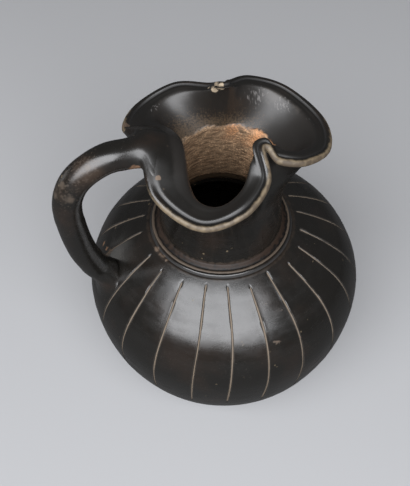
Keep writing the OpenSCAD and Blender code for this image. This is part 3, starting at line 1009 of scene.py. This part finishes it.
def burnished_clay_group():
    """Colour, roughness and height of burnished black clay, shared by every piece."""
    if "Burnished clay" in bpy.data.node_groups:
        return bpy.data.node_groups["Burnished clay"]
    f = settings().jug_finish
    group, tree, given, out = new_group(
        "Burnished clay",
        [("Specks", "NodeSocketFloat", 0.5), ("Mottle", "NodeSocketFloat", 0.6),
         ("Roughness", "NodeSocketFloat", f.rough)],
        [("Color", "NodeSocketColor"), ("Roughness", "NodeSocketFloat"), ("Height", "NodeSocketFloat")])
    patches = tree.maths("MULTIPLY", tree.ramp(tree.noise(42, 5), 0.45, 0.72), given["Mottle"])
    colour = tree.blend(patches, (*f.clay, 1), (*f.brown, 1))
    dust = tree.ramp(tree.noise(1500, 3), 0.6, 0.78)
    dusty = tree.maths("MULTIPLY", dust, tree.ramp(tree.noise(60, 3), 0.42, 0.66))
    colour = tree.blend(tree.maths("MULTIPLY", dusty, 0.4), colour, (*f.dust, 1))
    dots = tree.nodes.new("ShaderNodeTexVoronoi")
    dots.inputs["Scale"].default_value = 330
    warp = tree.nodes.new("ShaderNodeVectorMath")
    warp.operation = "MULTIPLY_ADD"
    tree.put(warp.inputs[0], tree.noise(900, 2))
    warp.inputs[1].default_value = (0.0012, 0.0012, 0.0012)
    tree.put(warp.inputs[2], tree.where)
    tree.put(dots.inputs["Vector"], warp.outputs[0])
    dot = tree.ramp(dots.outputs["Distance"], 0.2, 0.1)
    rare = tree.ramp(tree.noise(110, 3), 0.58, 0.68)
    specks = tree.maths("MULTIPLY", tree.maths("MULTIPLY", dot, rare), given["Specks"])
    tree.put(out["Color"], tree.blend(specks, colour, (*f.tan, 1)))
    strokes = tree.noise(60, 5, tree.stretched((1, 1, 7)))
    rough = tree.maths("ADD", given["Roughness"], tree.maths("MULTIPLY", tree.ramp(strokes, 0.35, 0.7), 0.08))
    rough = tree.maths("ADD", rough, tree.maths("MULTIPLY", tree.ramp(tree.noise(160, 5), 0.4, 0.75), 0.08))
    tree.put(out["Roughness"], tree.maths("ADD", rough, tree.maths("MULTIPLY", specks, 0.4)))
    grain = tree.maths("MULTIPLY", tree.noise(1100, 3), 0.3)
    lumps = tree.maths("MULTIPLY", tree.noise(260, 4), 0.5)
    uneven = tree.maths("ADD", grain, lumps)
    tree.put(out["Height"], tree.maths("ADD", uneven, tree.maths("MULTIPLY", strokes, 0.9)))
    return group


def crust_group():
    """Colour and height of the earthy crust inside the neck, with its slanting strokes."""
    f = settings().jug_finish
    group, tree, given, out = new_group(
        "Neck crust", [("Orange and light", "NodeSocketFloat", 0.0)],
        [("Color", "NodeSocketColor"), ("Height", "NodeSocketFloat")])
    apart = tree.nodes.new("ShaderNodeSeparateXYZ")
    tree.put(apart.inputs[0], tree.where)
    around = tree.maths("MULTIPLY", tree.maths("ARCTAN2", apart.outputs[1], apart.outputs[0]), 21 * MM)
    unrolled = tree.nodes.new("ShaderNodeCombineXYZ")
    tree.put(unrolled.inputs[0], around)
    tree.put(unrolled.inputs[1], apart.outputs[2])
    strokes = tree.noise(800, 5, tree.stretched((0.32, 1, 1), (0, 0, math.radians(28)), unrolled.outputs[0]))
    grains = tree.noise(1500, 3)
    body = tree.blend(tree.ramp(strokes, 0.32, 0.66), (*f.crust_dark, 1), (*f.crust, 1))
    body = tree.blend(tree.maths("MULTIPLY", tree.ramp(grains, 0.5, 0.75), 0.5), body, (*f.tan, 1))
    # Orange crust and painted light where light falls on the neck's far wall
    orange_and_light_mask = tree.maths("MULTIPLY", given["Orange and light"], tree.ramp(tree.noise(190, 4), 0.28, 0.6))
    tree.put(out["Color"], tree.blend(orange_and_light_mask, body, (*f.crust_orange_and_light, 1)))
    ridges = tree.maths("MULTIPLY", strokes, 11)
    tree.put(out["Height"], tree.maths("ADD", ridges, tree.maths("MULTIPLY", grains, 4)))
    return group


def layer(tree, surface, label, over, strength, scale, broken, soft, rough, lift=0.0, stretch=(1, 1, 1)):
    """Lays a colour over the surface where the piece's own mark says.

    Noise of the given scale breaks its edge, as much as broken and as gently as soft says.
    """
    colour, roughness, height = surface
    there = tree.mark(label)
    grain = tree.noise(scale, 5, tree.stretched(stretch))
    uneven = tree.maths("MULTIPLY", tree.maths("SUBTRACT", grain, 0.5), 2 * broken)
    mask = tree.ramp(tree.maths("ADD", there, uneven), 0.5 - soft, 0.5 + soft)
    mask = tree.maths("MULTIPLY", mask, tree.maths("MULTIPLY", tree.ramp(there, 0, 0.15), strength))
    return (
        tree.blend(mask, colour, over if isinstance(over, bpy.types.NodeSocket) else (*over, 1)),
        tree.between(mask, roughness, rough),
        tree.maths("ADD", height, tree.maths("MULTIPLY", mask, lift)),
    )


def clay_material(name, layers, rough=None, specks=0.5, mottle=0.6, sheen=None, crust=False):
    """Burnished clay with layers of colour over it, and the crust under them where asked for."""
    f = settings().jug_finish
    material = bpy.data.materials.new(name)
    material.use_nodes = True
    shader = material.node_tree.nodes["Principled BSDF"]
    tree = Tree(material.node_tree)
    clay = tree.nodes.new("ShaderNodeGroup")
    clay.node_tree = burnished_clay_group()
    clay.inputs["Roughness"].default_value = f.rough if rough is None else rough
    clay.inputs["Specks"].default_value = specks
    clay.inputs["Mottle"].default_value = mottle
    surface = clay.outputs["Color"], clay.outputs["Roughness"], clay.outputs["Height"]
    if crust:
        earth = tree.nodes.new("ShaderNodeGroup")
        earth.node_tree = crust_group()
        tree.put(earth.inputs["Orange and light"], tree.mark("orange_and_light"))
        surface = layer(tree, surface, "crust", earth.outputs["Color"], 1, 700, 0.3, 0.2, 0.75)
        there = tree.ramp(tree.mark("crust"), 0.3, 0.7)
        relief = tree.maths("MULTIPLY", earth.outputs["Height"], there)
        surface = surface[0], surface[1], tree.maths("ADD", surface[2], relief)
    for values in layers:
        surface = layer(tree, surface, *values)
    tree.put(shader.inputs["Base Color"], surface[0])
    tree.put(shader.inputs["Roughness"], surface[1])
    shader.inputs["Specular IOR Level"].default_value = f.sheen if sheen is None else sheen
    bump = tree.nodes.new("ShaderNodeBump")
    bump.inputs["Strength"].default_value = 0.6
    bump.inputs["Distance"].default_value = 0.06 * MM
    tree.put(bump.inputs["Height"], surface[2])
    tree.put(shader.inputs["Normal"], bump.outputs["Normal"])
    return material


# The layers below are each a mark, colour, strength, scale, broken, soft, roughness, lift and stretch
def belly_clay():
    f = settings().jug_finish
    return clay_material("Belly clay", mottle=0.4, layers=[
        # Painted shade in the groove round the neck's ring
        ("ring_groove", f.painted_shade, 0.9, 200, 0.2, 0.3, 0.8),
        ("edge", f.dust, 0.3, 500, 0.5, 0.4, 0.5),
        # Painted shade along the sides of each stroke, beside its pale fill
        ("stroke_side", f.painted_shade, 0.75, 420, 0.2, 0.3, 0.6),
        ("stroke", f.pale, 0.95, 420, 0.35, 0.35, 0.8),
        ("shoulder_edge", f.brown_dust, 0.35, 420, 0.6, 0.3, 0.5),
        ("worn", f.rubbed, 0.65, 520, 0.8, 0.3, 0.7),
        ("chip", f.chip, 1, 620, 0.6, 0.1, 0.8, 3),
    ])


def mouth_clay():
    f = settings().jug_finish
    return clay_material("Mouth clay", [
        ("lobe", f.inner, 0.85, 160, 0.3, 0.3, 0.5),
        ("speckle", f.speckle, 0.75, 1700, 0.8, 0.25, 0.6),
        ("foot_dirt", f.brown_dust, 0.6, 500, 0.6, 0.2, 0.8),
        # Painted shade in the groove along the lip
        ("groove", f.painted_shade, 0.85, 150, 0.3, 0.3, 0.8),
        # Grey dust that is also a painted sheen inside the lobes
        ("dust_and_sheen", f.dust, 0.35, 700, 0.6, 0.3, 0.5),
        ("dull", f.clay, 0.8, 200, 0.2, 0.45, 0.5),
        ("lip_top", f.clay, 0.6, 200, 0.2, 0.4, 0.45),
        ("bead", f.tan, 0.95, 300, 0.38, 0.2, 0.6, 1),
        ("bead_dirt", f.brown_dust, 0.75, 420, 0.6, 0.2, 0.7),
        ("worn", f.rubbed, 0.9, 420, 0.5, 0.1, 0.7),
        ("scratch", f.scratch, 0.4, 900, 1.1, 0.12, 0.7, 1, (1.6, 1, 0.16)),
        ("chip", f.lip_chip, 1, 620, 0.55, 0.12, 0.8, 3),
    ], specks=0.7, crust=True)


def ring_clay():
    f = settings().jug_finish
    return clay_material("Ring clay", [
        # Painted shade on the low ledge between the ring's rim and the neck
        ("ledge", f.painted_shade, 0.9, 300, 0.3, 0.3, 0.5),
        ("deposit", f.brown, 0.9, 500, 0.8, 0.2, 0.5),
        ("rim", f.rim, 0.9, 520, 0.6, 0.25, 0.5),
    ], rough=0.38, mottle=0.9, sheen=0.35)


def foot_clay():
    f = settings().jug_finish
    return clay_material("Foot clay", [("wear", f.pale, 0.7, 150, 0.6, 0.2, 0.8)], rough=0.55)


def handle_clay():
    if "Handle clay" in bpy.data.materials:
        return bpy.data.materials["Handle clay"]
    f = settings().jug_finish
    return clay_material("Handle clay", [
        ("wear", f.brown_dust, 0.7, 90, 0.8, 0.3, 0.35),
        ("wear", f.rim, 0.4, 1000, 0.8, 0.15, 0.5),
        ("worn", f.rim, 0.65, 520, 0.5, 0.4, 0.45),
        ("dull", f.clay, 0.8, 200, 0.2, 0.45, 0.5),
        ("chip", f.chip, 0.8, 620, 0.6, 0.2, 0.8, 2),
    ], specks=0.7, mottle=0.9)


def lamp(name, place, size, power, colour):
    """A flat lamp that faces the middle of the jug."""
    data = bpy.data.lights.new(name, "AREA")
    data.shape = "RECTANGLE"
    data.size, data.size_y = size
    data.energy = power
    data.color = colour
    piece = bpy.data.objects.new(name, data)
    bpy.context.collection.objects.link(piece)
    piece.location = place
    piece.rotation_euler = (LAMP_AIM - Vector(place)).to_track_quat("-Z", "Y").to_euler()


class JUG_OT_stage(bpy.types.Operator):
    """Lays the floor, hangs the lamps and sets the camera"""
    bl_idname = "jug.stage"
    bl_label = "Stage"

    def execute(self, context):
        s = context.scene.jug_stage
        deselect()
        bpy.ops.mesh.primitive_plane_add(size=6)
        floor = context.object
        floor.name = "floor"
        material = bpy.data.materials.new("Pale floor")
        material.use_nodes = True
        tree = Tree(material.node_tree)
        shader = tree.nodes["Principled BSDF"]
        seen = tree.nodes.new("ShaderNodeLightPath").outputs["Is Camera Ray"]
        tree.put(shader.inputs["Base Color"], tree.blend(seen, (*s.floor_bounce, 1), (*s.floor, 1)))
        shader.inputs["Roughness"].default_value = 0.9
        shader.inputs["Specular IOR Level"].default_value = 0.1
        floor.data.materials.append(material)

        world = bpy.data.worlds.new("Soft room")
        world.use_nodes = True
        world.node_tree.nodes["Background"].inputs["Color"].default_value = (*s.room, 1)
        world.node_tree.nodes["Background"].inputs["Strength"].default_value = s.room_light
        context.scene.world = world
        lamp("window", s.window, s.window_size, s.window_power, s.window_tint)
        lamp("fill", s.fill, s.fill_size, s.fill_power, s.fill_tint)

        aim = Vector(s.aim)
        way = Vector((
            math.sin(s.azimuth) * math.cos(s.elevation), math.cos(s.azimuth) * math.cos(s.elevation),
            -math.sin(s.elevation)))
        data = bpy.data.cameras.new("camera")
        data.lens = s.lens
        data.sensor_width = 36
        camera = bpy.data.objects.new("camera", data)
        context.collection.objects.link(camera)
        camera.location = aim - way * s.distance
        camera.rotation_euler = way.to_track_quat("-Z", "Y").to_euler()
        data.clip_start = 0.01
        context.scene.camera = camera
        context.scene.view_settings.view_transform = "Standard"
        return {"FINISHED"}


OPERATORS = (
    JUG_OT_stage, JUG_OT_belly, JUG_OT_foot, JUG_OT_neck_ring, JUG_OT_mouth, JUG_OT_handle, JUG_OT_collar)
SETTINGS = {
    "jug_belly": BellySettings, "jug_mouth": MouthSettings, "jug_handle": HandleSettings,
    "jug_finish": FinishSettings, "jug_stage": StageSettings,
}


class JUG_PT_panel(bpy.types.Panel):
    """Buttons for the pieces of the jug, and their sizes"""
    bl_idname = "JUG_PT_panel"
    bl_label = "Jug"
    bl_space_type = "VIEW_3D"
    bl_region_type = "UI"
    bl_category = "Jug"

    def draw(self, context):
        for operator in OPERATORS:
            self.layout.operator(operator.bl_idname)
        for name, group in SETTINGS.items():
            box = self.layout.box()
            for prop in group.__annotations__:
                box.prop(getattr(context.scene, name), prop)


def register():
    for group in SETTINGS.values():
        bpy.utils.register_class(group)
    for name, group in SETTINGS.items():
        setattr(bpy.types.Scene, name, bpy.props.PointerProperty(type=group))
    for operator in OPERATORS:
        bpy.utils.register_class(operator)
    bpy.utils.register_class(JUG_PT_panel)


def unregister():
    bpy.utils.unregister_class(JUG_PT_panel)
    for operator in reversed(OPERATORS):
        bpy.utils.unregister_class(operator)
    for name, group in SETTINGS.items():
        delattr(bpy.types.Scene, name)
        bpy.utils.unregister_class(group)


def main():
    register()
    bpy.ops.jug.stage()
    bpy.ops.jug.belly()
    bpy.ops.jug.foot()
    bpy.ops.jug.neck_ring()
    bpy.ops.jug.mouth()
    bpy.ops.jug.handle()
    bpy.ops.jug.collar()


if __name__ == "__main__":
    main()
